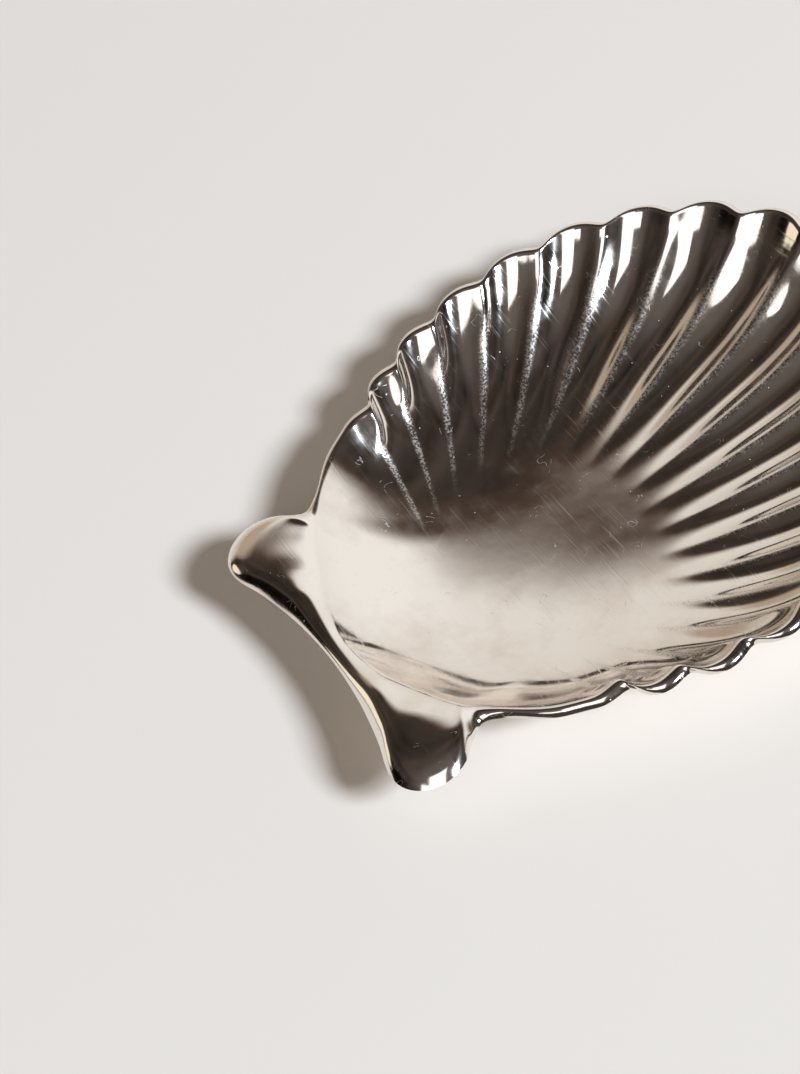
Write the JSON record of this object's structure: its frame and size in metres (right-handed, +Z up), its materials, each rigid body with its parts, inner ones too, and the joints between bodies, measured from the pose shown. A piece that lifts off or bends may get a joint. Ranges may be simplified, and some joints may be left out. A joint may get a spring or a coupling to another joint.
{
  "type": "shell trinket dish",
  "caption": "Shallow scallop-shell dish of polished silver-plated sheet, with radial flutes, a rolled scalloped lip and two rounded ears at its hinge end.",
  "frame": {"origin": "middle of the dish's outline, on the surface that its flat floor rests on", "axes": "+Z up, +Y from the hinge end with the two ears towards the scalloped front lip, +X to the right as seen from the hinge end"},
  "size_m": [0.1348, 0.1508, 0.0193],
  "materials": {
    "silver_plate": "mirror-polished silver plate with fine scratches, swirl marks and light tarnish"
  },
  "bodies": {
    "root": {"shell_dish": "silver_plate"}
  },
  "joints": []
}
